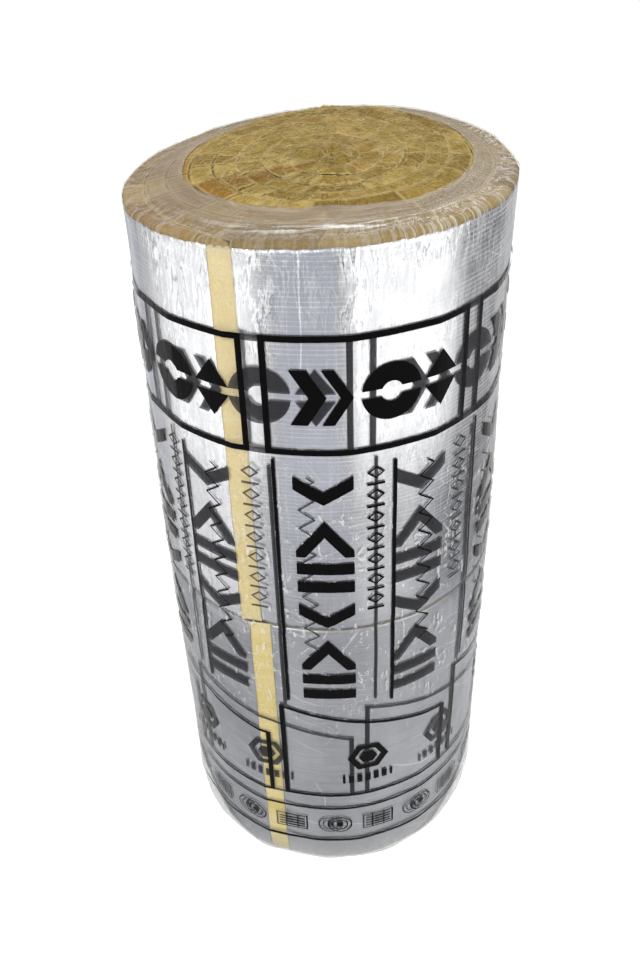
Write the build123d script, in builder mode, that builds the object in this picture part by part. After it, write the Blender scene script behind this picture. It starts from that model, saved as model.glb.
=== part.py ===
"""Foil-faced mineral wool mat, wound to a roll, sawn in two and standing on end in a clear shrink film.

The mats are wound foil side out, so the outline is a spiral with a small step where the strip ends.
The spiral is drawn as half circles that meet on the X axis, each a little smaller than the one outside it.
Millimetres, +Z up, origin at the middle of the foot.
"""
from build123d import *
import os
from math import acos, cos, degrees, radians, sin

# The mats
mat_width = 500.0
outer_radius = 221.0
end_step = 6.0
end_face_length = 25.0
upper_end_angle = 239.5
lower_end_angle = 242.5
rim_bevel = 6.0
crown_margin = 21.0
crown_rise = 26.0

# The turns, as they show on the ends
turn_pitch = 26.0
core_drift = 1.0
turn_gap = 2.0
turn_gap_depth = 4.0
eye_length = 22.0
eye_width = 6.0

# The foil facing
facing_thickness = 0.5
facing_clearance = 0.3

# The film
film_thickness = 0.6
film_clearance = 0.5
film_tip_radius = 40.0
opening_radius = 158.0
opening_shift = 13.0
foot_opening_radius = 150.0

film_inside = facing_clearance + facing_thickness + film_clearance
film_outside = film_inside + film_thickness
foot_height = film_thickness + film_clearance
joint_height = foot_height + mat_width
rim_height = joint_height + mat_width
crown_radius = outer_radius - crown_margin
crown_sphere_radius = (crown_radius**2 + crown_rise**2) / (2 * crown_rise)
crown_middle = rim_height + crown_rise - crown_sphere_radius
over_the_top = mat_width + 2 * crown_rise
half_turns_shown = 2 * int((outer_radius - end_step) / turn_pitch - 1)

# The half circle at the back is smaller than the one at the front left by half the step,
# and the one at the front right by the whole step. Their centres put the outline's box on the axis.
front_centre = Vector(end_step / 2, -end_step / 4)
back_centre = Vector(0, -end_step / 4)
back_radius = outer_radius - end_step / 2
right_radius = outer_radius - end_step
heel_turn = degrees(end_face_length / right_radius)


def direction(angle):
    """Unit vector in the plan at an angle in degrees."""
    return Vector(cos(radians(angle)), sin(radians(angle)))


def mat_outline(end_angle):
    """Outline of a wound mat, with the laid-over cut face at the strip's end."""
    tip = front_centre + direction(end_angle) * outer_radius
    heel = front_centre + direction(end_angle + heel_turn) * right_radius
    with BuildSketch() as outline:
        with BuildLine():
            CenterArc(front_centre, outer_radius, end_angle, 180 - end_angle)
            CenterArc(back_centre, back_radius, 180, -180)
            CenterArc(front_centre, right_radius, 360, end_angle + heel_turn - 360)
            Line(heel, tip)
        make_face()
    return outline.sketch


def facing_outline(end_angle):
    """The facing on the outer turn, from the strip's end round to the heel of its cut face."""
    heel_angle = end_angle + heel_turn
    inside = facing_clearance
    outside = facing_clearance + facing_thickness
    with BuildSketch() as outline:
        with BuildLine():
            CenterArc(front_centre, outer_radius + outside, end_angle, 180 - end_angle)
            CenterArc(back_centre, back_radius + outside, 180, -180)
            outer_end = CenterArc(front_centre, right_radius + outside, 360, heel_angle - 360) @ 1
            inner_end = CenterArc(front_centre, right_radius + inside, heel_angle, 360 - heel_angle) @ 0
            CenterArc(back_centre, back_radius + inside, 0, 180)
            inner_start = CenterArc(front_centre, outer_radius + inside, 180, end_angle - 180) @ 1
            Line(outer_end, inner_end)
            Line(inner_start, front_centre + direction(end_angle) * (outer_radius + outside))
        make_face()
    return outline.sketch


def film_outline(grown):
    """Outline of the taut film: it follows the mats and bridges the step straight."""
    bridge_turn = degrees(acos((right_radius + grown) / (outer_radius + grown)))
    landing_angle = lower_end_angle + bridge_turn
    tip = front_centre + direction(lower_end_angle) * (outer_radius + grown)
    with BuildSketch() as outline:
        with BuildLine():
            CenterArc(front_centre, outer_radius + grown, lower_end_angle, 180 - lower_end_angle)
            CenterArc(back_centre, back_radius + grown, 180, -180)
            landing = CenterArc(front_centre, right_radius + grown, 360, landing_angle - 360)
            Line(landing @ 1, tip)
        make_face()
        fillet(outline.vertices().sort_by_distance(tip)[0], film_tip_radius)
    return outline.sketch


def turn_lines(end_angle):
    """The gap between the turns on an end, as one spiral ribbon from the heel in to the core."""
    heel = front_centre + direction(end_angle + heel_turn) * right_radius
    left = back_centre.X - back_radius + turn_pitch + core_drift
    right = back_centre.X + back_radius - turn_pitch + core_drift
    middle = back_centre.Y
    with BuildSketch() as lines:
        with BuildLine():
            TangentArc((left, middle), heel, tangent=(0, -1))
            for half_turn in range(half_turns_shown):
                radius = (right - left) / 2
                centre = (left + radius, middle)
                if half_turn % 2 == 0:
                    CenterArc(centre, radius, 180, -180)
                    left += turn_pitch + core_drift
                else:
                    CenterArc(centre, radius, 0, -180)
                    right -= turn_pitch - core_drift
            offset(amount=turn_gap / 2, side=Side.BOTH)
        make_face()
    return lines.sketch


def crown(raised=0.0):
    """The low dome that the wool makes on the flat upper end, raised by a given amount."""
    with BuildPart() as cap:
        with Locations((0, 0, crown_middle)):
            Sphere(crown_sphere_radius + raised, rotation=(90, 0, 0))
        split(bisect_by=Plane.XY.offset(rim_height))
    return cap.part


def film_body(grown):
    """The film's form, grown from the mats' by a given amount, with both rims bevelled as theirs are."""
    proud = film_clearance + grown - film_inside
    with BuildPart() as body:
        with BuildSketch(Plane.XY.offset(foot_height - proud)):
            add(film_outline(grown))
        extrude(amount=2 * mat_width + 2 * proud)
        ends = body.faces().sort_by(Axis.Z)
        chamfer(ends[0].edges() + ends[-1].edges(), rim_bevel + grown / 2)
        add(crown(proud))
    return body.part


def write(piece, name):
    """Label a finished piece and write it to its own file."""
    piece.part.label = name
    export_step(piece.part, f"parts/{name}.step")


os.makedirs("parts", exist_ok=True)

# The lower mat stands on the floor, where it sags through the film's foot opening
with BuildPart() as lower_wool:
    with BuildSketch(Plane.XY.offset(foot_height)):
        add(mat_outline(lower_end_angle))
    extrude(amount=mat_width)
    chamfer(lower_wool.edges().group_by(Axis.Z)[0], rim_bevel)
    with BuildSketch():
        Circle(foot_opening_radius - film_clearance)
    extrude(amount=foot_height)
    with BuildSketch():
        add(turn_lines(lower_end_angle))
    extrude(amount=foot_height + turn_gap_depth, mode=Mode.SUBTRACT)
    with BuildSketch():
        SlotOverall(eye_length, eye_width, rotation=lower_end_angle)
    extrude(amount=joint_height, mode=Mode.SUBTRACT)
write(lower_wool, "lower_wool")

# The upper mat's end is crowned, and cut by the spiral gap between its turns
with BuildPart() as crown_lines:
    with BuildSketch(Plane.XY.offset(rim_height - turn_gap_depth)):
        add(turn_lines(upper_end_angle))
    extrude(amount=2 * crown_rise)
    with Locations((0, 0, crown_middle)):
        Sphere(crown_sphere_radius - turn_gap_depth, rotation=(90, 0, 0), mode=Mode.SUBTRACT)

with BuildPart() as upper_wool:
    with BuildSketch(Plane.XY.offset(joint_height)):
        add(mat_outline(upper_end_angle))
    extrude(amount=mat_width)
    chamfer(upper_wool.edges().group_by(Axis.Z)[-1], rim_bevel)
    add(crown())
    add(crown_lines.part, mode=Mode.SUBTRACT)
    with BuildSketch(Plane.XY.offset(joint_height)):
        SlotOverall(eye_length, eye_width, rotation=upper_end_angle)
    extrude(amount=over_the_top, mode=Mode.SUBTRACT)
write(upper_wool, "upper_wool")

# The foil facing runs round each mat between its bevelled rim and the saw cut
with BuildPart() as lower_foil:
    with BuildSketch(Plane.XY.offset(foot_height + rim_bevel)):
        add(facing_outline(lower_end_angle))
    extrude(amount=mat_width - rim_bevel)
write(lower_foil, "lower_foil")

with BuildPart() as upper_foil:
    with BuildSketch(Plane.XY.offset(joint_height)):
        add(facing_outline(upper_end_angle))
    extrude(amount=mat_width - rim_bevel)
write(upper_foil, "upper_foil")

# The shrink film wraps both mats and is drawn over both ends, with a round opening in each
film_form = film_body(film_outside)
film_hollow = film_body(film_inside)
with BuildPart() as film_wrap:
    add(film_form)
    add(film_hollow, mode=Mode.SUBTRACT)
    with BuildSketch():
        Circle(foot_opening_radius)
    extrude(amount=joint_height, mode=Mode.SUBTRACT)
    with BuildSketch(Plane.XY.offset(joint_height)):
        with Locations((opening_shift, 0)):
            Circle(opening_radius)
    extrude(amount=over_the_top, mode=Mode.SUBTRACT)
write(film_wrap, "film_wrap")
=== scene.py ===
"""Looks of the insulation roll: two halves of a wound wool mat with creased foil facing, in a printed film.

Metres, +Z up, origin at the middle of the foot. Angles round the roll are in degrees from +X, from above.
"""

import math

import bmesh
import bpy
import numpy as np
from mathutils import Matrix, Vector


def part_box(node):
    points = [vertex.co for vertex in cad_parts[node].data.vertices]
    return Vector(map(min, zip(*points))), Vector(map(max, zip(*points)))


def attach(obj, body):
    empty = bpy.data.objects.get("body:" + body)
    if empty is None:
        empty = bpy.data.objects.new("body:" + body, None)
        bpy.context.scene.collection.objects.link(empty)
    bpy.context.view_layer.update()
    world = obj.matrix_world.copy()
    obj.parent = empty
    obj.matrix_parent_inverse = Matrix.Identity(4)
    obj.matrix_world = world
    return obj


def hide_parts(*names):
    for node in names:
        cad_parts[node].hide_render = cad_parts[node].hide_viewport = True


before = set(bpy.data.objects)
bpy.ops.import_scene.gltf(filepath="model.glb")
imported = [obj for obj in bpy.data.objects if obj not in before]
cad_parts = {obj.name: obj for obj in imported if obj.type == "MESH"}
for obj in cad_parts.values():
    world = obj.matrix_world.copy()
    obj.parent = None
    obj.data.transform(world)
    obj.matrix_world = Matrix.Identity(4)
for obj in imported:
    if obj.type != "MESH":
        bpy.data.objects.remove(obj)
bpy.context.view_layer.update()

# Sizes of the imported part
outer_radius = 0.221
end_step = 0.006
cut_face_length = 0.025
upper_end_angle = 239.5
lower_end_angle = 242.5
rim_radius = 0.006
crown_radius = 0.2
crown_rise = 0.026
turn_pitch = 0.026
core_drift = 0.001
half_turns_shown = 14
eye_length = 0.022
eye_width = 0.006
opening_radius = 0.158
opening_shift = 0.013
foot_opening_radius = 0.15
joint_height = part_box("upper_wool")[0].z
rim_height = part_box("upper_foil")[1].z + rim_radius
foot_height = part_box("lower_foil")[0].z - rim_radius

front_centre = np.array([end_step / 2, -end_step / 4])
back_centre = np.array([0.0, -end_step / 4])
back_radius = outer_radius - end_step / 2
right_radius = outer_radius - end_step
heel_turn = math.degrees(cut_face_length / right_radius)
foil_thickness = 0.0002
film_thickness = 0.0003
film_grown = 0.0015  # how far the film stands off the mats' outline
run_a_degree = 0.0039  # metres round the roll, for the ripples
crown_sphere = (crown_radius**2 + crown_rise**2) / (2 * crown_rise)

# Print on the film, in degrees round the roll
print_period = 66.5
print_start = 249.7
inner_layer_turn = 29.7
film_seam_angle = 89.2
print_run_a_degree = 0.2215 * math.pi / 0.18  # in millimetres


# Shapes shared by the pieces


def direction(angle):
    """Unit vectors in the plan, for angles in degrees."""
    a = np.radians(np.asarray(angle, float))
    return np.stack([np.cos(a), np.sin(a)], -1)


def bearing(points):
    """Degrees round the roll at which points lie."""
    return np.degrees(np.arctan2(points[..., 1], points[..., 0]))


def smooth(x, low, high):
    """0 below low, 1 above high, and a smooth turn between them."""
    t = np.clip((np.asarray(x, float) - low) / (high - low), 0, 1)
    return t * t * (3 - 2 * t)


def bell(x, middle, width):
    """1 at middle, falling softly to 0 on either side of it."""
    return np.exp(-(((x - middle) / width) ** 2))


def ripples(x, y, seed, wave_x, wave_y, count=14):
    """Smooth uneven waves of about unit height over two coordinates."""
    rng = np.random.default_rng(seed)
    total = np.zeros(np.broadcast(x, y).shape)
    for _ in range(count):
        kx = rng.normal() / wave_x
        ky = rng.normal() / wave_y
        total += np.sin(2 * np.pi * (kx * x + ky * y) * 0.5 + rng.uniform(0, 2 * np.pi))
    return total / math.sqrt(count / 2) * 0.5


def all_round(angle, table):
    """Values read off a table of (degrees round the roll, value)."""
    return np.interp(np.mod(angle, 360), *zip(*table), period=360)


# How far the upper end stands over its level: it is lower at the left and at the back left
end_sink = [
    (0, 0.001), (60, 0.004), (100, -0.005), (135, -0.013),
    (190, -0.0145), (230, -0.006), (270, 0.0), (320, 0.0),
]


def end_tilt(angle, height):
    """How far the upper end's tilt moves a point up, by its degrees round the roll and its height."""
    return all_round(angle, end_sink) * smooth(height, 0.84, 1.0)


facet_edges = np.array([205, 224, 251, 277, 303, 329, 355, 381, 407, 434, 460, 487, 513, 540, 565.0])


def facets(angle, height):
    """How far the wall stands off the plain outline: it lies in flats as wide as the mat's stiff lengths,
    dips at the saw cut, bulges lower down, and is drawn in at the foot and at the upper left."""
    a = np.mod(np.asarray(angle, float) - 205, 360) + 205
    k = np.clip(np.searchsorted(facet_edges, a, side="right") - 1, 0, len(facet_edges) - 2)
    f = (a - facet_edges[k]) / (facet_edges[k + 1] - facet_edges[k])
    depth = 0.0026 * (0.75 + 0.25 * np.sin(k * 2.3)) * (0.3 + 0.7 * smooth(height, 0.3, 0.85))
    flat = -depth * (1 - (2 * f - 1) ** 2)
    saw_cut = -0.0016 * bell(height, joint_height, 0.007)
    round_about = outer_radius * direction(a)
    slack = 0.0007 * ripples(
        round_about[..., 0] + 0.4 * height, round_about[..., 1] - 0.25 * height, 3, 0.1, 0.1
    )
    bulge = 0.0042 * (1 - smooth(height, 0.45, 0.85)) * smooth(height, 0.0, 0.06)
    foot = -0.0050 * (1 - smooth(height, -0.01, 0.03))
    upper_left = -0.0045 * smooth(-np.cos(np.radians(a)), 0.2, 0.9) * smooth(height, 0.82, 1.0)
    return flat + saw_cut + slack + bulge + foot + upper_left


def crown_height(x, y):
    """Height of the plain domed end over its rim."""
    r2 = np.minimum(x**2 + y**2, crown_radius**2)
    return np.sqrt(crown_sphere**2 - r2) - (crown_sphere - crown_rise)


def arc_outline(angle, grown, tip_angle, bridge):
    """Plan points of the mats' outline, grown outwards. The step is spanned over the angle bridge."""
    angle = np.asarray(angle, float)
    a = np.mod(angle, 360)
    on_back = (a <= 180)[..., None]
    on_left = ((a > 180) & (a <= tip_angle))[..., None]
    ray = direction(a)
    left = front_centre + (outer_radius + grown) * ray
    back = back_centre + (back_radius + grown) * ray
    right = front_centre + (right_radius + grown) * ray
    points = np.where(on_back, back, np.where(on_left, left, right))
    span = (a > tip_angle) & (a < tip_angle + bridge)
    tip = front_centre + (outer_radius + grown) * direction(tip_angle)
    heel = front_centre + (right_radius + grown) * direction(tip_angle + bridge)
    share = np.clip((a - tip_angle) / bridge, 0, 1)[..., None]
    return np.where(span[..., None], tip + (heel - tip) * share, points)


def coil(turned, end_angle):
    """The spiral line between the turns, by degrees turned clockwise from the strip's heel.
    The first 360 degrees before 0 are the outline itself."""
    heel_angle = end_angle + heel_turn
    turned = np.asarray(turned, float)
    outside = arc_outline(heel_angle - turned - 360, 0.0, end_angle, heel_turn)
    heel = front_centre + right_radius * direction(heel_angle)
    left = back_centre[0] - back_radius + turn_pitch + core_drift
    right = back_centre[0] + back_radius - turn_pitch + core_drift
    middle = back_centre[1]
    # an arc from the heel to the left point, which it meets squarely to the X axis
    across, down = heel[0] - left, heel[1] - middle
    radius = (across**2 + down**2) / (2 * across)
    heel_local = math.degrees(math.atan2(down, across - radius)) % 360
    first = heel_angle - 180
    local = heel_local + (180 - heel_local) * np.clip(turned / first, 0, 1)
    points = np.array([left + radius, middle]) + radius * direction(local)
    half = np.clip(np.floor((turned - first) / 180), 0, half_turns_shown)
    lefts = left + np.ceil(half / 2) * (turn_pitch + core_drift)
    rights = right - np.floor(half / 2) * (turn_pitch - core_drift)
    radii = (rights - lefts) / 2
    centres = np.stack([(lefts + rights) / 2, np.full(half.shape, middle)], -1)
    angle = 180 - (turned - first)
    spiral = centres + radii[..., None] * direction(angle)
    points = np.where((turned > first)[..., None], spiral, points)
    return np.where((turned < 0)[..., None], outside, points)


# Making meshes


def grid_faces(rows, columns, start=0, closed=False):
    """Quads of a grid of vertices, row by row. closed joins the last column to the first."""
    index = start + np.arange(rows * columns).reshape(rows, columns)
    if closed:
        index = np.concatenate([index, index[:, :1]], 1)
    quads = np.stack([index[:-1, :-1], index[:-1, 1:], index[1:, 1:], index[1:, :-1]], -1)
    return quads.reshape(-1, 4)


def new_object(name, data):
    """A new object in the scene."""
    made = bpy.data.objects.new(name, data)
    bpy.context.scene.collection.objects.link(made)
    return made


def set_values(mesh, name, values):
    """Gives the points of a mesh a named value."""
    layer = mesh.attributes.new(name, "FLOAT", "POINT")
    layer.data.foreach_set("value", np.asarray(values, np.float32).ravel())


def make_piece(name, points, quads, materials, values=None, turns=None, bands=None):
    """A new object from points and quads. values are point attributes, turns give its UV map
    as (degrees round the roll / 360, height) for each point, and bands say which material each quad has."""
    mesh = bpy.data.meshes.new(name)
    mesh.from_pydata(points.reshape(-1, 3).tolist(), [], quads.tolist())
    for key, value in (values or {}).items():
        set_values(mesh, key, value)
    if turns is not None:
        corners = np.zeros(len(mesh.loops), np.int32)
        mesh.loops.foreach_get("vertex_index", corners)
        layer = mesh.uv_layers.new(name="wrap")
        layer.data.foreach_set("uv", turns.astype(np.float32).reshape(-1, 2)[corners].ravel())
    for material in materials:
        mesh.materials.append(material)
    if bands is not None:
        mesh.polygons.foreach_set("material_index", np.asarray(bands, np.int32))
    return new_object(name, mesh)


def tidy_mesh(piece, fill_flat=None):
    """Merges doubles, closes the flat saw cut if a height is given, and turns the faces outwards."""
    work = bmesh.new()
    work.from_mesh(piece.data)
    bmesh.ops.remove_doubles(work, verts=work.verts, dist=1e-5)
    if fill_flat is not None:
        open_edges = [edge for edge in work.edges if edge.is_boundary]
        rim = [edge for edge in open_edges if all(abs(v.co.z - fill_flat) < 1e-4 for v in edge.verts)]
        bmesh.ops.triangle_fill(work, use_beauty=True, edges=rim)
    bmesh.ops.recalc_face_normals(work, faces=work.faces)
    for face in work.faces:
        face.smooth = True
    work.to_mesh(piece.data)
    work.free()
    return piece


def bake_modifiers(piece):
    """Turns a piece with modifiers into a plain mesh."""
    bpy.context.view_layer.update()
    graph = bpy.context.evaluated_depsgraph_get()
    mesh = bpy.data.meshes.new_from_object(piece.evaluated_get(graph), depsgraph=graph)
    piece.modifiers.clear()
    piece.data = mesh
    return piece


def give_thickness(piece, thickness):
    """Gives a sheet a real thickness, inwards. Its inner wall takes the last material."""
    wall = piece.modifiers.new("wall", "SOLIDIFY")
    wall.thickness = thickness
    wall.offset = -1
    wall.use_rim = True
    wall.material_offset = len(piece.data.materials) - 1
    return bake_modifiers(piece)


def hand_in(piece, slot, *nodes):
    """Ties a finished piece to the roll and hides the CAD nodes it stands for. Its slot is not used."""
    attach(piece, "root")
    if nodes:
        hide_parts(*nodes)


# Node trees


def plug(tree, slot, value):
    """Links a socket or a Value to a slot, or sets a number or a colour there."""
    if isinstance(value, Value):
        value = value.socket
    if isinstance(value, bpy.types.NodeSocket):
        tree.links.new(value, slot)
    elif slot.type == "RGBA":
        slot.default_value = (*value, 1.0)
    else:
        slot.default_value = value


def math_node(tree, operation, *values):
    """A Math node over Values and numbers."""
    node = tree.nodes.new("ShaderNodeMath")
    node.operation = operation
    for slot, value in zip(node.inputs, values):
        plug(tree, slot, value)
    return Value(tree, node.outputs[0])


def operator(operation):
    """A method that puts a Math node after a Value."""
    return lambda value, *others: math_node(value.tree, operation, value, *others)


class Value:
    """A number socket of a node tree. Its operators add Math nodes; | is the larger and & the smaller."""

    def __init__(self, tree, socket):
        self.tree = tree
        self.socket = socket

    __add__ = __radd__ = operator("ADD")
    __sub__ = operator("SUBTRACT")
    __mul__ = __rmul__ = operator("MULTIPLY")
    __truediv__ = operator("DIVIDE")
    __pow__ = operator("POWER")
    __lt__ = operator("LESS_THAN")
    __gt__ = operator("GREATER_THAN")
    __or__ = operator("MAXIMUM")
    __and__ = operator("MINIMUM")
    __abs__ = operator("ABSOLUTE")
    floor = operator("FLOOR")

    def __rsub__(self, other):
        return math_node(self.tree, "SUBTRACT", other, self)

    def near(self, middle, reach):
        """1 where the value is within reach of middle."""
        return math_node(self.tree, "COMPARE", self, middle, reach)

    def part(self, size):
        """What is left after whole steps of a size."""
        return math_node(self.tree, "FLOORED_MODULO", self, size)

    def clamp(self):
        return (self | 0.0) & 1.0

    def over(self, start, gain):
        """0 up to start, and from there up to 1 at a gain."""
        return ((self - start) * gain).clamp()

    def line(self, middle, fall):
        """1 at middle, falling to 0 on either side of it."""
        return (1.0 - abs(self - middle) * fall).clamp()

    def ramp(self, low, high):
        """Rises smoothly from 0 at low to 1 at high."""
        node = self.tree.nodes.new("ShaderNodeMapRange")
        node.interpolation_type = "SMOOTHSTEP"
        for key, value in (("Value", self), ("From Min", low), ("From Max", high)):
            plug(self.tree, node.inputs[key], value)
        return Value(self.tree, node.outputs["Result"])


class Tree:
    """A node tree that nodes are added to."""

    def __init__(self, tree):
        self.tree = tree

    def node(self, kind, settings=None, **sockets):
        """Adds a node of a kind, sets its settings, then fills or links its sockets.
        A socket is named with underscores for spaces, or in_ and its number."""
        made = self.tree.nodes.new(kind)
        for key, value in (settings or {}).items():
            setattr(made, key, value)
        for key, value in sockets.items():
            slot = made.inputs[int(key[3:]) if key.startswith("in_") else key.replace("_", " ")]
            plug(self.tree, slot, value)
        return made

    def value(self, socket):
        return Value(self.tree, socket)

    def parts(self, vector):
        """The three numbers of a vector socket."""
        split = self.node("ShaderNodeSeparateXYZ", Vector=vector)
        return [self.value(s) for s in split.outputs]

    def vector(self, x, y, z):
        return self.node("ShaderNodeCombineXYZ", X=x, Y=y, Z=z).outputs[0]

    def noise(self, vector, scale, detail=2.0, roughness=0.5, distortion=0.0):
        """A noise between about 0 and 1, over a vector or over three numbers."""
        if isinstance(vector, tuple):
            vector = self.vector(*vector)
        shape = {"Detail": detail, "Roughness": roughness, "Distortion": distortion}
        made = self.node("ShaderNodeTexNoise", Vector=vector, Scale=scale, **shape)
        return self.value(made.outputs["Fac"])

    def mix(self, share, first, second):
        """A mix of two colours."""
        made = self.node("ShaderNodeMix", {"data_type": "RGBA"}, in_0=share, in_6=first, in_7=second)
        return made.outputs[2]


class Finish(Tree):
    """A material under construction."""

    def __init__(self, name):
        self.material = bpy.data.materials.new(name)
        self.material.use_nodes = True
        super().__init__(self.material.node_tree)
        self.tree.nodes.clear()

    def attribute(self, name):
        made = self.node("ShaderNodeAttribute", {"attribute_name": name})
        return self.value(made.outputs["Fac"])

    def wrap(self):
        """Degrees round the roll and height, from the UV map."""
        uv = self.node("ShaderNodeUVMap", {"uv_map": "wrap"}).outputs[0]
        turn, height, _ = self.parts(uv)
        return turn * 360.0, height

    def place(self):
        return self.node("ShaderNodeTexCoord").outputs["Object"]

    def bump(self, height, strength, distance):
        made = self.node("ShaderNodeBump", Height=height, Strength=strength, Distance=distance)
        return made.outputs[0]

    def surface(self, **sockets):
        """Ends the material with a Principled shader and returns the material."""
        shader = self.node("ShaderNodeBsdfPrincipled", **sockets)
        self.node("ShaderNodeOutputMaterial", Surface=shader.outputs[0])
        return self.material


# Finishes


def wool_finish():
    """Ochre mineral wool: fibrous mottling, lengths of different tone, painted shade in the gaps with a
    painted highlight on their edges, dark specks, pale cut face.
    """
    f = Finish("mineral_wool")
    place = f.place()
    tone, warm, gap, cut, along, across = map(f.attribute, ("tone", "warm", "gap", "cut", "along", "across"))
    streak = f.noise((along * 190.0, across * 60.0, tone * 40.0), 1.0, 4.0, 0.7, 0.8)
    mottle = f.noise(place, 220.0, 4.0, 0.75, 0.9)
    patch = f.noise(place, 17.0, 3.0, 0.55, 0.8)
    tuft = f.noise(place, 420.0, 3.0, 0.7)
    light = (streak - 0.5) * 1.5 + (mottle - 0.5) * 1.8 + (tone - 0.5) * 1.1 + (patch - 0.5) * 0.3
    colour = f.mix((light + 0.48).clamp(), (0.205, 0.122, 0.016), (0.505, 0.350, 0.066))
    orange = (patch + warm * 0.28).over(0.62, 4.0) * mottle.over(0.30, 3.0)
    colour = f.mix(orange * 0.75, colour, (0.45, 0.205, 0.028))
    pale = (streak * 0.6 + patch * 0.5 + tone * 0.25).over(0.68, 5.0)
    colour = f.mix(pale * 0.45, colour, (0.62, 0.49, 0.20))
    # a painted highlight on the edges of the gaps
    gap_edge_highlight = gap.ramp(0.04, 0.16) * (1.0 - gap.ramp(0.32, 0.5))
    colour = f.mix(gap_edge_highlight * 0.5, colour, (0.70, 0.56, 0.25))
    # dark specks over the wool, and painted shade in the gaps
    dark = ((0.40 - tuft) * 5.0).clamp() * 0.35 | (gap.ramp(0.45, 0.85) * 0.8)
    colour = f.mix(dark, colour, (0.13, 0.062, 0.012))
    _, _, height = f.parts(place)
    layer = f.noise((along * 4.0, across, height * 34.0), 1.0, 4.0, 0.6, 0.4)
    # the cut face is painted paler above the saw cut, where the film stands off it
    paler_above = height.ramp(0.45, 0.62)
    strip = f.mix(layer.over(0.3, 2.0), (0.78, 0.60, 0.20), (0.93, 0.82, 0.45))
    strip = f.mix(paler_above * 0.5, strip, (0.88, 0.74, 0.46))
    colour = f.mix(cut, colour, strip)
    normal = f.bump(mottle * 0.9 + streak * 0.6 + tuft * 0.5, 0.8, 0.0026)
    return f.surface(
        Base_Color=colour, Roughness=0.95, Normal=normal,
        Sheen_Weight=0.06, Sheen_Roughness=0.6, Specular_IOR_Level=0.15,
    )


def fibre_finish():
    """Loose strands of the same wool, from pale to brown."""
    f = Finish("wool_strands")
    pick = f.noise(f.place(), 60.0, 2.0)
    colour = f.mix(pick.over(0.3, 2.2), (0.30, 0.20, 0.05), (0.78, 0.66, 0.34))
    return f.surface(Base_Color=colour, Roughness=0.8, Specular_IOR_Level=0.3)


def foil_finish():
    """Aluminium foil on a fine scrim, coloured with painted reflections: bright and dull flats, highlights
    and shade along upright creases above, glints along thin creases below.
    """
    f = Finish("creased_foil")
    turn, height = f.wrap()
    # sheen is the painted brightness of each flat's reflection
    sheen = f.attribute("sheen")
    run = turn * (outer_radius * math.pi / 180)
    flute = f.noise((run, height * 0.2, 0.0), 90.0, 4.0, 0.65, 0.5)
    bend = f.noise((run, height, 4.0), 5.0, 1.0)
    patchy = f.noise((run, height * 0.8, 0.0), 11.0, 3.0, 0.6)
    fleck = f.noise((run, height * 0.6, 2.0), 420.0, 2.0, 0.7)
    top = height.ramp(0.80, 0.98)
    upper = height.ramp(0.46, 0.76)
    right = turn.ramp(-62.0, -46.0) * (1.0 - turn.ramp(-18.0, 0.0))
    dull = (1.0 - sheen * 1.7).clamp()
    # painted highlights and shade along creases that run up and down near the top, and painted glints along
    # long thin creases lower down
    where = (0.12 + 0.88 * upper) * patchy.over(0.40, 6.0) * (sheen * 1.5 - 0.1 + 0.3 * top).clamp()
    fold = flute.line(0.5, 20.0) * where
    shade = flute.line(0.56, 24.0) * where
    # crumple paints glints on the crumpled foil at the very top, and fleck paints fine glints all over
    crumple = (fleck - 0.5) * 3.0 * height.ramp(0.955, 0.995)
    across = (height * 17.0 + run * 6.0 + bend * 3.0).part(1.0)
    steep = (height * 8.0 - run * 13.0 + bend * 4.0).part(1.0)
    crease_glint = across.line(0.5, 55.0) * patchy.over(0.50, 9.0)
    crease_glint |= steep.line(0.5, 60.0) * ((0.46 - patchy) * 9.0).clamp()
    # the scrim shows as a grid of fine lines, most of all on the dull flats
    weft = abs((height / 0.0052).part(1.0) - 0.5) * 2.0
    warp = abs((run / 0.0098).part(1.0) - 0.5) * 2.0
    thread = f.noise((run * 0.05, height, 1.0), 210.0, 2.0, 0.6)
    weft_line = weft.over(0.62, 3.5) * (thread * 2.6 - 0.7).clamp()
    warp_line = warp.over(0.84, 8.0) * flute.over(0.42, 5.0)
    scrim = (weft_line * 0.30 + warp_line * 0.20) * (0.12 + upper * 0.88) * (0.12 + dull * 0.88)
    # two upright ribs near the top, with a painted highlight along them
    wobble = (bend - 0.5) * 5.0 + (flute - 0.5) * 1.2
    rib = (turn + wobble).line(-95.0, 2.6) | (turn - wobble).line(-81.0, 2.2)
    rib = rib * height.ramp(0.80, 0.86)
    fluted = (0.06 + 0.35 * upper + 0.5 * top) * (0.10 + sheen + right * 0.45)
    # the foil's colour is painted reflection: sheen of the flats, soft patches, glints, and highlights and
    # shade along creases
    bright = sheen + (patchy - 0.5) * 0.22 + (flute - 0.5) * fluted
    bright = bright + (fleck - 0.5) * (0.12 + 0.12 * upper) + (thread - 0.5) * 0.16 * dull
    bright = bright + scrim + crumple * 0.25 + fold * (0.25 + 0.35 * top)
    bright = bright - shade * (0.24 + 0.24 * top) + crease_glint * (0.35 - upper * 0.2) + rib * 0.5
    colour = f.mix((bright + 0.10).clamp(), (0.055, 0.056, 0.066), (0.90, 0.905, 0.92))
    # a bluish painted reflection on the dull flats near the top
    cool = upper * sheen.line(0.11, 8.0) * (1.0 - right) * (0.9 - bright).clamp()
    colour = f.mix(cool * 0.65, colour, (0.40, 0.42, 0.50))
    # a duller, bluer painted reflection lower down
    colour = f.mix((1.0 - upper) * 0.16, colour, (0.20, 0.22, 0.27))
    relief = flute * (0.15 + 0.85 * top) + fold * (0.2 + 0.5 * top) + crease_glint * 0.2
    relief = relief + rib * 0.3 + weft_line * 0.05 + fleck * (0.05 + 0.08 * upper)
    normal = f.bump(relief, 0.5, 0.0016)
    return f.surface(Base_Color=colour, Metallic=0.92, Roughness=0.34, Normal=normal)


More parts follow.
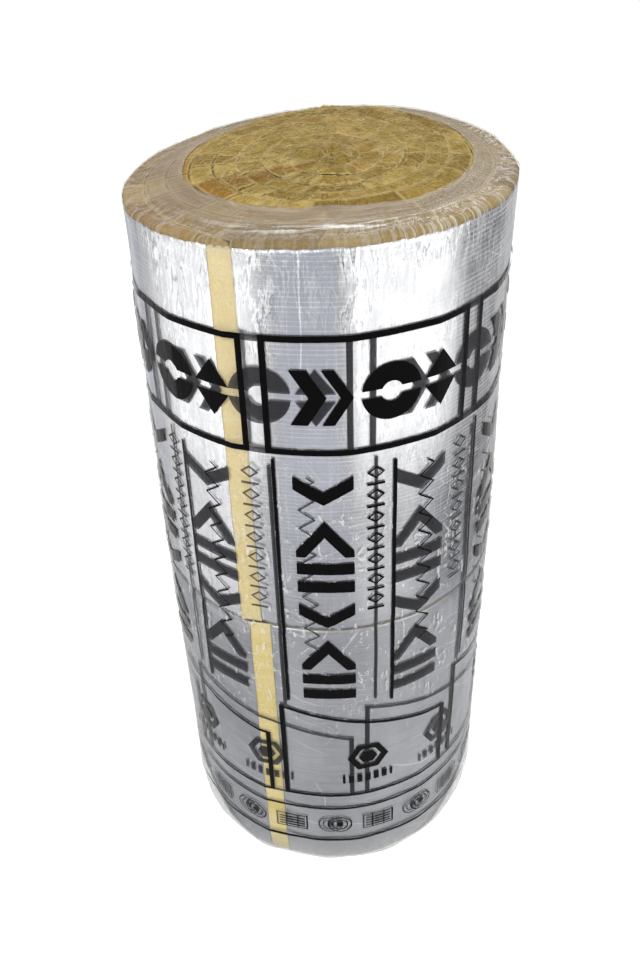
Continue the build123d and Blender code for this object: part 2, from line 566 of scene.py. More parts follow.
# The print is drawn in millimetres: p across from the start of a repeat, z up from the foot


def panel(p, z, cx, cz, hx, hz):
    """1 inside an upright rectangle, by its middle and its half sizes."""
    return p.near(cx, hx) * z.near(cz, hz)


def upper_frames(p, z):
    """Frames of the upper row, with chevrons, a slotted disc and a slotted diamond in each."""
    ink = panel(p, z, 131.9, 834, 119.6, 71.5) - panel(p, z, 131.9, 834, 112.6, 64.2)
    level = abs(z - 834.0)
    lean = p + level * 0.62
    arrow = abs((lean - 62.0).part(34.0) - 10.0) < 9.5
    ink |= arrow * level.near(0, 33.0) * lean.near(81.0, 29.0)
    disc = (p - 152.0) * (p - 152.0) + level * level
    ink |= disc.near(650.0, 506.0) * (level > 4.5)
    diamond = (abs(p - 212.0) / 25.0 + level / 34.0) < 1.0
    return ink | (diamond * (level > 4.5))


def middle_rows(p, z):
    """Upright rules, a heavy row of bars, triangles and chevrons, a row of diamonds and a zigzag."""
    ink = panel(p, z, 19.7, 563.0, 2.0, 193.0) | panel(p, z, 157.0, 554.0, 2.3, 193.0)
    cell = (z - 370.0) / 62.6
    step = cell.floor()
    rise = (cell - step - 0.5) * 62.6
    side = p - 74.6
    kind = step.part(3.0)
    bars = abs(rise).near(14.0, 8.5) * kind.near(0, 0.1)
    slope = 17.0 - rise * 0.77 - abs(side)
    triangle = slope.near(9.0, 9.0) * kind.near(1, 0.1)
    chevron = (rise - abs(side) * 0.62).near(-9.0, 9.0) * kind.near(2, 0.1)
    ink |= (bars | triangle | chevron) * side.near(0, 34.0) * z.near(558.0, 188.0)
    small = (z - 530.0).part(30.8) - 15.4
    diamond = (abs(p - 134.3) / 11.0 + abs(small - 5.0) / 8.5).near(0.82, 0.17)
    dash = p.near(134.3, 10.5) * small.near(-10.5, 1.6)
    ink |= (diamond | dash) * z.near(637.0, 107.0)
    wave = abs((z / 26.0).part(1.0) - 0.5) * 36.0 - 9.0
    return ink | ((p - 197.3 - wave).near(0, 1.7) * z.near(596.0, 138.0))


def lower_frames(p, z):
    """Frames of the lower row, which have a sloping top, with a faceted mark over short bars."""
    slope = z + (p - 8.9) * 0.259
    ink = p.near(126.6, 120.2) * (slope.near(355.5, 2.4) | z.near(171.0, 2.4))
    sides = p.near(8.9, 3.2) | p.near(244.3, 3.2)
    ink |= sides * (z > 168.6) * (slope < 357.9)
    across, above = abs(p - 125.0), abs(z - 252.0)
    six = (across * 0.866 + above * 0.5) | above
    ink |= (six < 25.0) * (1.0 - six.near(14.0, 2.6))
    return ink | (panel(p, z, 125.0, 207.0, 36.0, 8.0) * (p / 12.0).part(1.0).near(0.42, 0.3))


def foot_signs(p, z):
    """Two rings with a row of small round and square signs between them."""
    ink = z.near(139.7, 2.2) | z.near(63.1, 2.6)
    sign = (p + 13.0).part(64.2) - 32.1
    drop = z - 101.0
    far = (sign * sign + drop * drop) ** 0.5
    round_sign = far.near(17.0, 1.0) | far.near(11.0, 0.9) | (far < 5.0)
    square = abs(sign) | abs(drop)
    square_sign = square.near(15.5, 1.0) | (square < 12.0) * (drop / 6.0).part(1.0).near(0.3, 0.26)
    odd = ((p + 13.0) / 64.2).floor().part(2.0)
    return ink | (round_sign * odd) | (square_sign * (1.0 - odd))


# What each band of the sleeve shows, from the top: its lowest height and its print
film_bands = [
    (0.915, None),
    (0.7575, upper_frames),
    (0.3595, middle_rows),
    (0.15, lower_frames),
    (0.045, foot_signs),
    (-1.0, None),
]
# Down to which height the sleeve has how many rows of points
sleeve_rows = [(0.915, 13), (0.7575, 7), (0.53, 9), (0.47, 8), (0.3595, 5), (0.15, 7), (0.045, 5)]


def print_group(draw):
    """A layer of print as a node group. Across is in millimetres from the start of a repeat,
    and Height in millimetres from the foot."""
    group = bpy.data.node_groups.new(draw.__name__, "ShaderNodeTree")
    for label, way in (("Across", "INPUT"), ("Height", "INPUT"), ("Ink", "OUTPUT")):
        group.interface.new_socket(label, in_out=way, socket_type="NodeSocketFloat")
    t = Tree(group)
    start = t.node("NodeGroupInput")
    p, z = t.value(start.outputs["Across"]), t.value(start.outputs["Height"])
    t.node("NodeGroupOutput", Ink=draw(p, z))
    return group


def clear_sheet(f, colour, cover, roughness, gloss, normal=None):
    """Ends the material of a film that covers as much of what is behind it as cover says."""
    bent = {"Normal": normal} if normal else {}
    return f.surface(
        Base_Color=colour, Roughness=roughness, IOR=1.5, Specular_IOR_Level=gloss, Alpha=cover, **bent
    )


def film_finish(name, draw):
    """Clear shrink film with black print on the outer layer and greyed print on the layer under it."""
    f = Finish(name)
    turn, height = f.wrap()
    haze = f.attribute("haze")
    streak = f.noise((turn * 0.3, height * 5.0, 0.0), 3.0, 3.0, 0.6, 0.5)
    crinkle = f.noise((turn * 0.08, height * 3.0, 0.0), 9.0, 3.0, 0.6, 1.0)
    cover = (haze * (0.6 + streak * 0.8)).clamp()
    # painted glints: long thin ones, and short hairline ones round the saw cut
    arc = f.noise((turn * 0.035 + height * 2.2, height * 4.0 - turn * 0.012, 3.0), 1.5, 1.0, 0.3, 0.3)
    glint = (arc * 4.0).part(1.0).line(0.5, 80.0) * streak.over(0.50, 7.0)
    crackle = f.noise((turn * 0.13, height * 26.0, 9.0), 1.0, 3.0, 0.5, 0.6)
    zone = 0.2 + height.ramp(0.26, 0.42) * (1.0 - height.ramp(0.64, 0.84))
    hair_glint = crackle.line(0.5, 30.0) * streak.over(0.45, 8.0) * zone
    # slack film at the foot, to the left at 198 degrees and to the right at 342 degrees
    left = abs((turn - 18.0).part(360.0) - 180.0)
    right = abs((turn - 162.0).part(360.0) - 180.0)
    corner = (1.0 - left / 46.0).clamp() | (1.0 - right / 44.0).clamp()
    slack = ((corner * 0.12 - height) * 50.0).clamp() * (0.35 + crinkle * 0.9)
    # white is the painted glints, with the whitish haze of the slack film at the foot
    white = (glint * 0.28 | hair_glint * 0.55) | slack * 0.9
    colour = f.mix((white * 2.5).clamp(), (0.84, 0.85, 0.84), (0.93, 0.93, 0.92))
    if draw:
        group = print_group(draw)

        def layer(turned):
            across = (turn - (print_start + turned)).part(print_period) * print_run_a_degree
            made = f.node("ShaderNodeGroup", {"node_tree": group}, Across=across, Height=height * 1000.0)
            return f.value(made.outputs["Ink"])

        outer_ink, inner_ink = layer(0.0), layer(inner_layer_turn)
        colour = f.mix(inner_ink, colour, (0.032, 0.032, 0.036))
        colour = f.mix(outer_ink, colour, (0.002, 0.002, 0.002))
        cover = cover | outer_ink | (inner_ink * 0.85)
    normal = f.bump(crinkle * 0.7 + streak * 0.3, 0.35, 0.002)
    return clear_sheet(f, colour, cover | white, 0.14, 0.03, normal)


def collar_finish():
    """The same film where it is stretched over an end: hazy and tan, with painted highlights and shade on the
    pleats towards the rim and painted glints along a ridge at the front."""
    f = Finish("stretched_film")
    turn, _ = f.wrap()
    haze, collar, shine, pleated = map(f.attribute, ("haze", "collar", "shine", "pleated"))
    pleat = f.noise((turn * 0.33, collar * 2.4, 0.0), 1.0, 4.0, 0.65, 0.9)
    fine = f.noise((turn * 1.1, collar * 2.0, 7.0), 1.0, 3.0, 0.6, 0.4)
    band = f.noise((turn * 0.035, collar * 7.0, 5.0), 1.6, 3.0, 0.6, 0.6)
    outer = collar.ramp(0.35, 0.85)
    # crease paints highlights on the pleats, and gloss paints glints on the front ridge
    crease = (pleat.line(0.5, 18.0) * 0.7 + fine.over(0.55, 5.0) * 0.4) * outer * pleated
    gloss = band.over(0.46, 7.0) * shine
    white = (crease + gloss) & 1.0
    # painted shade beside the pleats, made by letting less haze cover there
    shade = ((0.5 - pleat) * 4.0).clamp() * outer
    colour = f.mix(band.ramp(0.35, 0.7), (0.36, 0.28, 0.185), (0.46, 0.385, 0.295))
    colour = f.mix(white, colour, (0.93, 0.92, 0.88))
    cover = haze * (0.75 + band * 0.5) - shade * 0.14 + white * 0.5
    normal = f.bump(pleat * collar + band * 0.5, 0.5, 0.004)
    return clear_sheet(f, colour, cover.clamp(), 0.2, 0.2, normal)


def inner_film_finish():
    """The film's inner wall, which adds only a trace of haze."""
    f = Finish("inner_film")
    return clear_sheet(f, (0.8, 0.8, 0.78), f.attribute("haze") * 0.2, 0.2, 0.05)


# The wool mats

steps_a_turn = 720
core_forward = 0.06  # how far the winding has squeezed the core towards the front
core_reach = 0.195  # and out to what radius the turns are squeezed with it
# the dark lines between turns and between lengths are painted shade in the gaps
gap_reach = 0.0023  # half the width of the dark lines between turns and between lengths


def split_angles(turn, rng):
    """Where one turn's lengths meet, in degrees clockwise from the X axis's left end."""
    left = list(np.array([-56, -42, -20, -2, 14]) + rng.normal(0, 1, 5) * [2.5, 1.5, 0.8, 1.5, 3])
    right = [172 + rng.normal(0, 4), 184 + rng.normal(0, 3)]
    back = list(np.arange(50, 160, 30 + 2 * turn) + rng.normal(0, 7))
    front = list(np.arange(208, 296, 30 + 2 * turn) + rng.normal(0, 5))
    return np.sort(np.mod(np.array(left + right + back + front), 360))


def mat_lengths(clock, radius, turns, rng):
    """The tone, warmth and lift of the mat's length at each step along it, and how near a split the step is.
    clock is in degrees clockwise from the X axis's left end."""
    splits = np.sort(np.concatenate([split_angles(k, rng) + 360 * (k - 1) for k in range(turns)]))
    number = np.searchsorted(splits, clock)
    before, after = splits[np.clip(number - 1, 0, None)], splits[np.clip(number, None, len(splits) - 1)]
    to_split = np.radians(np.minimum(clock - before, after - clock)) * radius
    tones = rng.uniform(0.15, 0.85, len(splits) + 1)[number]
    warms = rng.uniform(0, 1, len(splits) + 1)[number] ** 3
    # the lengths at the left front are browner, and those behind them paler
    where = np.mod((before + after) / 2 + 180, 360) - 180
    brown, pale = np.abs(where + 31) < 7, np.abs(where + 11) < 7
    tones = np.clip(tones + 0.4 * pale - 0.5 * brown, 0, 1)
    lifts = rng.normal(0, 0.0008, len(splits) + 1)[number]
    sharp = rng.uniform(0.15, 1.0, len(splits) + 1)[number]
    return tones, warms + 0.9 * brown, lifts, sharp * bell(to_split, 0, gap_reach)


def mat_end(line, n, turned, first, upward, shares, rng):
    """The end of a mat that shows, as a grid of points along and across its turns, and their values.
    line runs between the turns in n steps a turn. first is how far the X axis's left end is past the heel."""
    outer, inner = line[: len(line) - n], line[n:]
    shares = np.asarray(shares)
    grid = inner[:, None] * (1 - shares[:, None]) + outer[:, None] * shares[:, None]
    width = np.linalg.norm(outer - inner, axis=1)[:, None]
    from_inner, from_outer = shares * width, (1 - shares) * width
    x, y = grid[..., 0], grid[..., 1]
    angle = bearing(grid)
    outer_turn = (np.arange(len(inner)) < n)[:, None]
    # painted shade in the gaps between the turns, darkest at the left
    edge = np.where(outer_turn, from_inner, np.minimum(from_inner, from_outer))
    gap = bell(edge, 0, gap_reach) * smooth(width, 0.001, 0.008)
    level_side = np.cos(np.radians(angle))
    side = np.where(level_side < 0, 1.0, 0.5) * np.abs(level_side) ** 1.5
    gap = gap * (0.22 + 0.78 * side) * (0.45 + 0.55 * smooth(ripples(x, y, 23, 0.05, 0.05), -0.6, 0.6))
    # lengths of the mat, with a split between them that is painted dark as shade
    middle = (outer + inner) / 2
    stretch = np.concatenate([[0], np.cumsum(np.linalg.norm(np.diff(middle, axis=0), axis=1))])
    radius = np.linalg.norm(middle - middle[-1], axis=1)
    turns = int((first + 180 * half_turns_shown) / 360) + 3
    tones, warms, lifts, slit = mat_lengths(turned[n:] - first, radius, turns, rng)
    slit = slit[:, None] * smooth(edge, 0.0, 0.003) * (0.3 + 0.7 * side + 0.5 * (x < -0.05))
    # relief, strongest in the film's opening
    open_end = smooth(opening_radius - np.hypot(x - opening_shift, y), -0.004, 0.014)
    bulge = 0.0028 + 0.004 * bell(angle, 95, 45) * smooth(y, 0.03, 0.12)
    swell = 0.0015 * ripples(x, y, 21, 0.05, 0.05) + 0.7 * lifts[:, None]
    fuzz = 0.0007 * ripples(x, y, 22, 0.008, 0.008, 24) + rng.normal(0, 0.00022, x.shape)
    relief = swell * (0.3 + 0.7 * open_end) + (fuzz + bulge) * open_end
    relief = relief * smooth(width, 0.004, 0.02)
    relief -= gap * (0.0010 + 0.0020 * open_end) + slit * 0.0018 * open_end
    from_rim = np.where(outer_turn, from_outer, 1.0)
    inside = np.clip(rim_radius - from_rim, 0, rim_radius)
    round_off = rim_radius - np.sqrt(rim_radius**2 - inside**2)
    plain = rim_height - joint_height + crown_height(x, y) if upward else joint_height - foot_height
    height = plain - round_off + relief * smooth(from_rim, 0, 0.004)
    if not upward:
        foot = foot_height * smooth(foot_opening_radius - np.hypot(x, y), -0.001, 0.0)
        height = height + foot - np.maximum(relief, 0)
    heart = 1.1 * bell(np.hypot(x - 0.03, y + 0.05), 0, 0.045) + 0.9 * smooth(-x, 0.11, 0.15)
    values = {
        "tone": tones[:, None],
        "warm": warms[:, None] + heart,
        "gap": np.maximum(gap, slit * 0.8),
        "along": stretch[:, None],
        "across": from_inner + 0.03 * np.floor(turned[n:] / 360)[:, None],
        "cut": 0.0,
    }
    return np.concatenate([grid, height[..., None]], -1), values


def side_values(block, tone, gap, cut):
    """The values of points that aren't on the end, whose fibres run round the roll."""
    along, across = np.radians(bearing(block) % 360) * outer_radius, block[..., 2]
    return {"tone": tone, "warm": 0.0, "gap": gap, "along": along, "across": across, "cut": cut}


def mat_wall(wall, rim_level, on_face, count):
    """The wall from the rim to the saw cut, in rows, ragged where the strip's cut face shows."""
    angle = bearing(wall) % 360
    ray = direction(angle)
    rows = np.concatenate([[0, 0.004, 0.012], np.linspace(0.03, 1, count)])
    level = rim_level[None] * (1 - rows[:, None])
    block = np.concatenate([np.broadcast_to(wall, (len(rows), *wall.shape)), level[..., None]], -1).copy()
    ragged = 0.0006 * ripples(angle[None] * run_a_degree, level, 31, 0.01, 0.02) * on_face[None]
    block[..., :2] += ragged[..., None] * ray[None] * smooth(rows, 0, 0.02)[:, None, None]
    tucked = 0.0005 * ~on_face[None] * smooth(rows, 0, 0.02)[:, None]
    block[..., :2] -= tucked[..., None] * ray[None]
    bare = np.maximum(on_face[None], 0.55 * (rows[:, None] > 0))
    return block, side_values(block, 0.6, 0.0, bare)


def mat_core(ring, end_angle):
    """The core from the ring inside the last turn to the eye, and down through it, in closed rings."""
    middle = ring[:, :2].mean(0)
    out = ring[:, :2] - middle
    spin = np.arctan2(out[:, 1], out[:, 0]) - np.radians(end_angle)
    local = np.stack([np.cos(spin), np.sin(spin)], -1)
    half_slot = np.array([eye_length, eye_width]) / 2
    slot = local / (np.abs(local) / half_slot).max(1)[:, None]
    eye = middle + slot[:, :1] * direction(end_angle) + slot[:, 1:] * direction(end_angle + 90)
    rings = []
    for share in (0.0, 0.08, 0.2, 0.4, 0.6, 0.8, 0.92, 1.0):
        flat = ring[:, :2] * (1 - share) + eye * share
        level = ring[:, 2] * (1 - share) + np.median(ring[:, 2]) * share
        hump = math.sin(math.pi * share)
        level = level + 0.004 * hump - 0.003 * share**6
        level = level + 0.0012 * ripples(flat[:, 0], flat[:, 1], 41, 0.012, 0.012) * hump
        rings.append(np.column_stack([flat, level]))
    mouth = rings[-1][:, 2]
    rings += [np.column_stack([eye, mouth * (1 - share)]) for share in (0.05, 0.3, 1.0)]
    rings = np.array(rings)
    # painted shade down into the eye, given as the gap value
    dark = np.array([0, 0, 0, 0, 0, 0, 0.1, 0.6, 1, 1, 1.0])[:, None]
    return rings, side_values(rings, 0.45, dark, 0.0)


def wound_mat(name, material, end_angle, upward, shares, detail):
    """A wound mat from the saw cut outwards, with its turns and lengths shown on the end."""
    rng = np.random.default_rng(11 if upward else 12)
    n = int(steps_a_turn * detail)
    step = 360.0 / n
    first = end_angle + heel_turn - 180
    turned = np.arange(-n, int((first + 180 * half_turns_shown) / step) + 1) * step
    line = coil(turned, end_angle)
    line[:, 1] -= core_forward * np.clip(1 - (line**2).sum(1) / core_reach**2, 0, 1) ** 2
    end, end_values = mat_end(line, n, turned, first, upward, shares, rng)
    on_face = turned[: n + 1] + 360 <= heel_turn * 1.02
    wall, wall_values = mat_wall(line[: n + 1], end[: n + 1, -1, 2], on_face, 26 if upward else 18)
    core, core_values = mat_core(np.concatenate([end[-n - 1 :, 0], end[-1, 1:-1]]), end_angle)
    points, quads, values = [], [], []
    for block, given, closed in (
        (end, end_values, False), (wall, wall_values, False), (core, core_values, True),
    ):
        quads.append(grid_faces(*block.shape[:2], start=sum(map(len, points)), closed=closed))
        points.append(block.reshape(-1, 3))
        values.append({key: np.broadcast_to(v, block.shape[:2]).ravel() for key, v in given.items()})
    points = np.concatenate(points)
    angle = bearing(points)
    far = np.hypot(points[:, 0], points[:, 1])
    z = joint_height + points[:, 2] if upward else np.maximum(joint_height - points[:, 2], 0)
    push = facets(angle, z) * smooth(far, 0.16, 0.215)
    points[:, :2] += push[:, None] * direction(angle)
    points[:, 2] = z + (end_tilt(angle, z) * smooth(far, 0.0, 0.2) if upward else 0)
    values = {key: np.concatenate([given[key] for given in values]) for key in values[0]}
    piece = make_piece(name, points, np.concatenate(quads), [material], values)
    return tidy_mesh(piece, fill_flat=joint_height)


# The foil facing

# Painted sheen: how bright the foil's reflections are painted near the top, at the waist and near the foot,
# by degrees round the roll
top_sheen = [
    (0, 0.3), (20, 0.5), (35, 0.15), (60, 0.5), (85, 0.2), (110, 0.6), (135, 0.2),
    (165, 0.35), (185, 0.1), (196, -0.02), (203, 0.12), (209, 0.06), (217, 0.42), (226, 0.70),
    (240, 0.80), (250, 0.74), (254, 0.36), (259, 0.10), (273, 0.10), (277, 0.40), (281, 0.74),
    (302, 0.82), (308, 0.55), (313, 0.14), (325, 0.04), (340, 0.08),
]
waist_sheen = [
    (0, 0.3), (20, 0.35), (40, 0.12), (80, 0.4), (120, 0.12), (165, 0.2), (190, -0.06),
    (203, -0.02), (212, 0.22), (226, 0.46), (244, 0.50), (252, 0.20), (260, 0.10), (275, 0.12),
    (282, 0.30), (296, 0.24), (304, 0.03), (316, -0.05), (348, -0.06),
]
foot_sheen = [
    (0, 0.12), (40, 0.14), (90, 0.08), (140, 0.14), (175, 0.08), (192, -0.06), (205, -0.01),
    (222, 0.03), (240, 0.07), (256, 0.14), (266, 0.11), (278, 0.12), (290, 0.16), (306, 0.12),
    (325, 0.02), (345, -0.06),
]


def foil_sheen(angle, height):
    """How bright the foil's reflections are painted on its flats: strong contrasts near the top, faint ones
    below, and dull flats where the wall turns away at the left and right.
    """
    top, waist, foot = (all_round(angle, table) for table in (top_sheen, waist_sheen, foot_sheen))
    upper = smooth(height, 0.66, 0.84)
    lower = 1 - smooth(height, 0.46, 0.56)
    return top * upper + foot * lower + waist * (1 - upper - lower)


def foil_facing(name, material, end_angle, low, high):
    """The foil from the strip's end round to the heel of its cut face, creased along its edges."""
    columns, rows = 500, 80
    angle = end_angle - np.linspace(0, 360.0 - heel_turn, columns)
    level = np.linspace(0, 1, rows)
    level = level + 0.08 * np.sin(2 * np.pi * level) / (2 * np.pi)
    height = low + (high - low) * level
    a, z = np.meshgrid(angle, height)
    rng = np.random.default_rng(int(end_angle * 10))
    plan = arc_outline(a, 0.0005, end_angle, heel_turn)
    a = np.unwrap(bearing(plan), period=360) + 360
    run = np.radians(a) * outer_radius
    near_end = bell(np.minimum(z - low, high - z), 0, 0.03)
    flutes = ripples(run, z, int(end_angle), 0.012, 0.12, 24)
    folds = ripples(run, z, int(end_angle) + 1, 0.03, 0.05, 20)
    crease = np.clip(0.00022 * flutes * (0.5 + near_end) + 0.00025 * folds, -0.0006, 0.00035)
    push = facets(a, z) + crease
    jag = 0.0009 * ripples(angle * run_a_degree, angle * 0, 51, 0.011, 1.0, 30)
    jag = jag + rng.normal(0, 0.0003, columns)
    at_joint = -0.0008 + 0.25 * jag
    upper = high > joint_height
    z = z + (jag if upper else at_joint)[None] * smooth(level, 0.93, 1.0)[:, None]
    if upper:
        z = z - at_joint[None] * (1 - smooth(level, 0.0, 0.07))[:, None]
    z = z + end_tilt(a, z)
    points = np.concatenate([plan + push[..., None] * direction(a), z[..., None]], -1)
    turns = np.stack([a / 360, z], -1)
    # the flats' painted reflection brightness
    values = {"sheen": foil_sheen(a, z)}
    piece = make_piece(name, points, grid_faces(rows, columns), [material], values, turns)
    return give_thickness(tidy_mesh(piece), foil_thickness)


# The film


def film_wrap(name):
    """The film in rows of points: its collar on the upper end, its sleeve and its turned-in foot."""
    columns = 520
    angle = film_seam_angle + np.arange(columns + 1) / columns * 360
    bridge = math.degrees(math.acos((right_radius + film_grown) / (outer_radius + film_grown)))
    wall = arc_outline(angle, film_grown, lower_end_angle, bridge)
    # from here on the angle is the one from the roll's own axis
    angle = np.unwrap(bearing(wall), period=360)
    angle += 360 * np.round((film_seam_angle - angle[0]) / 360)
    ray = direction(angle)
    run = np.radians(angle) * outer_radius
    corner = rim_radius + film_grown
    sleeve_top = rim_height + 0.0012 - corner
    rows = []

    def row(plan, z, haze, collar=1.0, shine=0.0):
        rows.append(np.stack(np.broadcast_arrays(*plan.T, z, haze, collar, shine), -1))

    def waves(seed, wave, count=14):
        return ripples(run, run * 0, seed, wave, 1.0, count)

    # the collar, from the opening's edge, which is uneven and a little lifted, to the rim
    wobble = 0.0022 * waves(61, 0.11) + 0.0008 * waves(62, 0.02)
    hole = np.array([opening_shift, 0.0]) + (opening_radius + wobble)[:, None] * ray
    rim = wall + ray * (facets(angle, rim_height) + 0.0006)[:, None]
    fine_pleat, wide_pleat = waves(63, 0.007, 26), waves(64, 0.016, 20)
    pleated = 0.3 + 0.7 * smooth(np.cos(np.radians(angle + 15)), 0.2, 0.85)
    pleated = pleated + 0.35 * smooth(-np.cos(np.radians(angle)), 0.2, 0.95)
    front = bell(np.mod(angle, 360), 275, 34)
    for share in np.linspace(0, 1, 17) ** 0.9:
        plan = hole * (1 - share) + (rim - ray * corner) * share
        edge = bell(share, 0, 0.1)
        outer_part = smooth(share, 0.35, 0.8)
        pleats = 0.0006 * np.abs(fine_pleat) + 0.0009 * np.abs(wide_pleat)
        pleats = pleats * (0.25 + outer_part) * (0.4 + 0.6 * pleated)
        ridge = 0.0034 * front * bell(share, 0.62, 0.10)
        flop = 0.0006 * edge * (1 + 0.6 * wide_pleat)
        z = rim_height + crown_height(plan[:, 0], plan[:, 1]) + 0.0014 + pleats + ridge + flop
        haze = 0.42 - 0.14 * outer_part + 0.08 * edge + 0.03 * front
        # shine marks where glints are painted on the front ridge
        row(plan, z, haze, share, front * bell(share, 0.66, 0.16))
    for lean in np.radians([72, 54, 36, 18]):
        pleats = (0.0004 * np.abs(fine_pleat) + 0.0006 * np.abs(wide_pleat)) * math.sin(lean)
        row(rim - ray * corner * (1 - math.cos(lean)), sleeve_top + corner * math.sin(lean) + pleats, 0.22)
    # the sleeve, with closer rows at its ends and at the saw cut
    levels = []
    for low, count in sleeve_rows:
        levels += list(np.linspace(sleeve_top, low, count, endpoint=False))
        sleeve_top = low
    levels += list(np.linspace(sleeve_top, foot_height + rim_radius, 6))
    for z in levels:
        flutes = 0.0003 * np.abs(ripples(run, run * 0 + z, 65, 0.012, 0.15, 24))
        loose = 0.0032 * smooth(-z, -0.085, -0.02) * (0.6 + 0.5 * ripples(run, run * 0 + z, 66, 0.05, 0.05))
        push = facets(angle, z) + 0.0004 + flutes * (1 + 0.8 * smooth(z, 0.93, 0.99)) + loose
        haze = 0.03 + 0.16 * smooth(z, 0.985, 0.997) + 0.34 * smooth(-z, -0.075, -0.01)
        # the film is painted hazier along the saw cut, a painted highlight on its crease there
        row(wall + ray * push[:, None], z, haze + 0.08 * bell(z, joint_height, 0.004))
    # the turned-in foot
    wall = wall + ray * facets(angle, foot_height)[:, None]
    for lean in np.radians([30, 60, 90]):
        plan = wall - ray * rim_radius * (1 - math.cos(lean)) + ray * 0.0012 * math.cos(lean)
        row(plan, foot_height + rim_radius * (1 - math.sin(lean)) * 0.8 + 0.0002, 0.35)
    for share in np.linspace(0, 1, 8)[1:]:
        plan = (wall - ray * rim_radius) * (1 - share) + foot_opening_radius * ray * share
        row(plan, 0.0004 + 0.00025 * np.abs(fine_pleat) * (1 - share), 0.35)

    rows = np.array(rows)
    points, shape = rows[..., :3].copy(), rows.shape[:2]
    height = rows[..., 2]
    points[..., 2] += end_tilt(angle[None], height) * smooth(np.hypot(rows[..., 0], rows[..., 1]), 0.0, 0.2)
    turns = np.stack([np.broadcast_to(angle / 360, shape), height], -1)
    middles = (height[1:].mean(1) + height[:-1].mean(1)) / 2
    lows = np.array([low for low, _ in film_bands])
    bands = np.where(middles > 0.992, 0, np.argmax(middles[:, None] > lows[None], axis=1) + 1)
    drawn = [collar_finish()]
    drawn += [film_finish(f"clear_film_{k}", draw) for k, (_, draw) in enumerate(film_bands)]
    drawn += [inner_film_finish()]
    values = {"haze": rows[..., 3], "collar": rows[..., 4], "shine": rows[..., 5]}
    values["pleated"] = np.broadcast_to(pleated, shape)
    bands = np.repeat(bands, columns)
    piece = make_piece(name, points, grid_faces(*shape), drawn, values, turns, bands)
    return give_thickness(tidy_mesh(piece), film_thickness)


# Loose fibres, grown by Geometry Nodes


def fibre_tree(material, density, length, seed):
    """Scatters bent strands over a surface, lying nearly flat on it."""
    group = bpy.data.node_groups.new("loose_strands", "GeometryNodeTree")
    for way in ("INPUT", "OUTPUT"):
        group.interface.new_socket("Geometry", in_out=way, socket_type="NodeSocketGeometry")
    t = Tree(group)
    mesh = t.node("NodeGroupInput").outputs[0]
    where = t.node("GeometryNodeInputNamedAttribute", {"data_type": "FLOAT"}, Name="loose").outputs[0]
    thick = t.value(where) * density
    scatter = t.node(
        "GeometryNodeDistributePointsOnFaces", {"distribute_method": "RANDOM"},
        Mesh=mesh, Density=thick, Seed=seed,
    ).outputs
    strand = t.node(
        "GeometryNodeCurveQuadraticBezier",
        Resolution=3, Start=(-0.5, 0, -0.04), Middle=(0.05, 0.22, 0.16), End=(0.5, -0.05, 0.05),
    )
    round_wire = t.node("GeometryNodeCurvePrimitiveCircle", {"mode": "RADIUS"}, Resolution=3, Radius=0.02)
    wire = t.node("GeometryNodeCurveToMesh", Curve=strand.outputs[0], Profile_Curve=round_wire.outputs[0])
    spin = t.node(
        "FunctionNodeRandomValue", {"data_type": "FLOAT_VECTOR"},
        in_0=(-0.35, -0.45, 0.0), in_1=(0.35, 0.45, 6.283), Seed=seed,
    )
    size = t.node("FunctionNodeRandomValue", {"data_type": "FLOAT"}, in_2=0.45, in_3=1.35, Seed=seed)
    grown = t.value(size.outputs[1]) * length
    stand = t.node(
        "FunctionNodeRotateRotation", {"rotation_space": "LOCAL"},
        Rotation=scatter["Rotation"], Rotate_By=spin.outputs[0],
    )
    placed = t.node(
        "GeometryNodeInstanceOnPoints",
        Points=scatter["Points"], Instance=wire.outputs[0], Rotation=stand.outputs[0], Scale=grown,
    )
    real = t.node("GeometryNodeRealizeInstances", Geometry=placed.outputs[0])
    dressed = t.node("GeometryNodeSetMaterial", Geometry=real.outputs[0], Material=material)
    t.node("NodeGroupOutput", Geometry=dressed.outputs[0])
    return group


def loose_fibres(name, mat, material):
    """Strands that stand off the bare wool in the opening."""
    piece = new_object(name, mat.data.copy())
    points, normals = np.zeros((2, len(piece.data.vertices) * 3))
    piece.data.vertices.foreach_get("co", points)
    piece.data.vertices.foreach_get("normal", normals)
    x, y, z = points.reshape(-1, 3).T
    upright = normals.reshape(-1, 3)[:, 2] > 0.6
    reach = opening_radius - np.hypot(x - opening_shift, y)
    set_values(piece.data, "loose", upright * smooth(reach, 0.002, 0.012) * (z > rim_height - 0.02))
    grow = piece.modifiers.new("strands", "NODES")
    grow.node_group = fibre_tree(material, density=90000.0, length=0.009, seed=4)
    return bake_modifiers(piece)


# Studio

sky_light = 0.55  # what the white background lights the roll with, where it isn't seen
floor_glow = 0.60  # what the floor's own light adds where it is seen


def camera():
    """The photograph's viewpoint, fitted to its outline: in front and above, looking down at 37 degrees."""
    view = bpy.data.cameras.new("view")
    view.sensor_width = 36
    view.lens = 36.24
    view.clip_start = 0.05
    eye = new_object("view", view)
    eye.matrix_world = Matrix.Translation((0, -1.0522, 1.3597))
    for axis, angle in (("Z", 0.4605), ("X", 90 - 37.0033), ("Z", -2.0366)):
        eye.matrix_world @= Matrix.Rotation(math.radians(angle), 4, axis)
    bpy.context.scene.camera = eye


def soft_lamp(name, place, target, size, power):
    """A rectangular lamp that lights but isn't seen."""
    data = bpy.data.lights.new(name, "AREA")
    data.shape = "RECTANGLE"
    data.size, data.size_y = size
    data.energy = power
    lamp = new_object(name, data)
    lamp.location = place
    lamp.rotation_mode = "QUATERNION"
    lamp.rotation_quaternion = (Vector(target) - Vector(place)).to_track_quat("-Z", "Y")
    lamp.visible_camera = False


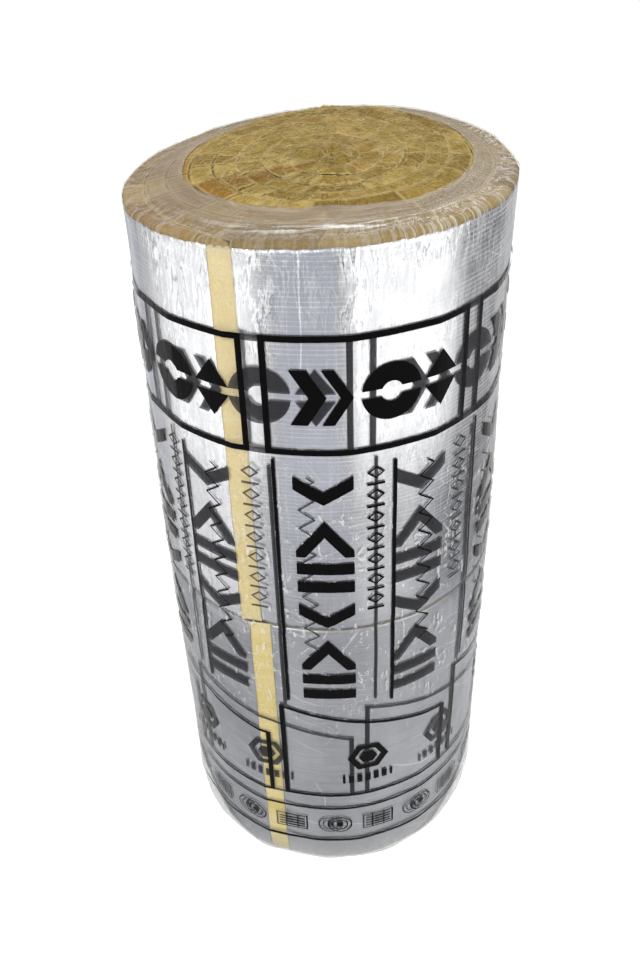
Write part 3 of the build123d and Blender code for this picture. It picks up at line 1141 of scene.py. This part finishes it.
def seen_white(f):
    """1 for what the camera, a mirror or a clear surface shows of the background."""
    path = f.node("ShaderNodeLightPath").outputs
    seen, mirrored, through = (
        f.value(path[f"Is {kind} Ray"]) for kind in ("Camera", "Glossy", "Transmission")
    )
    return seen | mirrored | through


def studio():
    """White background, pale floor and soft lamps."""
    world = bpy.data.worlds.new("studio")
    bpy.context.scene.world = world
    world.use_nodes = True
    world.node_tree.nodes.clear()
    w = Tree(world.node_tree)
    shown = seen_white(w)
    strength = shown * (1.0 - sky_light) + sky_light
    sky = w.node("ShaderNodeBackground", Color=(1, 1, 1), Strength=strength)
    w.node("ShaderNodeOutputWorld", Surface=sky.outputs[0])

    f = Finish("pale_floor")
    shown = seen_white(f)
    matt = f.node("ShaderNodeBsdfDiffuse", Color=(0.82, 0.82, 0.82))
    glow = f.node("ShaderNodeEmission", Color=(1, 1, 1), Strength=shown * floor_glow)
    both = f.node("ShaderNodeAddShader", in_0=matt.outputs[0], in_1=glow.outputs[0])
    f.node("ShaderNodeOutputMaterial", Surface=both.outputs[0])
    corners = np.array([[-20, -20, 0], [20, -20, 0], [20, 20, 0], [-20, 20, 0]], float)
    floor = make_piece("floor", corners, np.array([[0, 1, 2, 3]]), [f.material])

    soft_lamp("key", (-0.9, -1.6, 2.3), (0, 0, 0.7), (1.2, 1.2), 26)
    soft_lamp("fill", (1.6, -1.2, 1.8), (0, 0, 0.6), (1.2, 1.6), 16)
    soft_lamp("back", (0.4, 1.8, 2.2), (0, 0, 0.7), (1.6, 1.0), 16)


# Assembly

camera()
studio()
wool = wool_finish()
foil = foil_finish()
fine = (0, 0.04, 0.08, 0.13, 0.22, 0.36, 0.5, 0.64, 0.78, 0.87, 0.92, 0.96, 1)
coarse = (0, 0.08, 0.3, 0.7, 0.92, 1)
upper_mat = wound_mat("upper_wool_mat", wool, upper_end_angle, True, fine, 1.0)
lower_mat = wound_mat("lower_wool_mat", wool, lower_end_angle, False, coarse, 0.6)
upper_facing = foil_facing("upper_foil_facing", foil, upper_end_angle, joint_height, rim_height - rim_radius)
lower_facing = foil_facing("lower_foil_facing", foil, lower_end_angle, foot_height + rim_radius, joint_height)
film = film_wrap("clear_film")
fibres = loose_fibres("loose_wool_fibres", upper_mat, fibre_finish())
hand_in(upper_mat, "wool", "upper_wool")
hand_in(lower_mat, "wool", "lower_wool")
hand_in(upper_facing, "foil", "upper_foil")
hand_in(lower_facing, "foil", "lower_foil")
hand_in(film, "film", "film_wrap")
hand_in(fibres, "wool")

bpy.context.scene.view_settings.view_transform = "Standard"
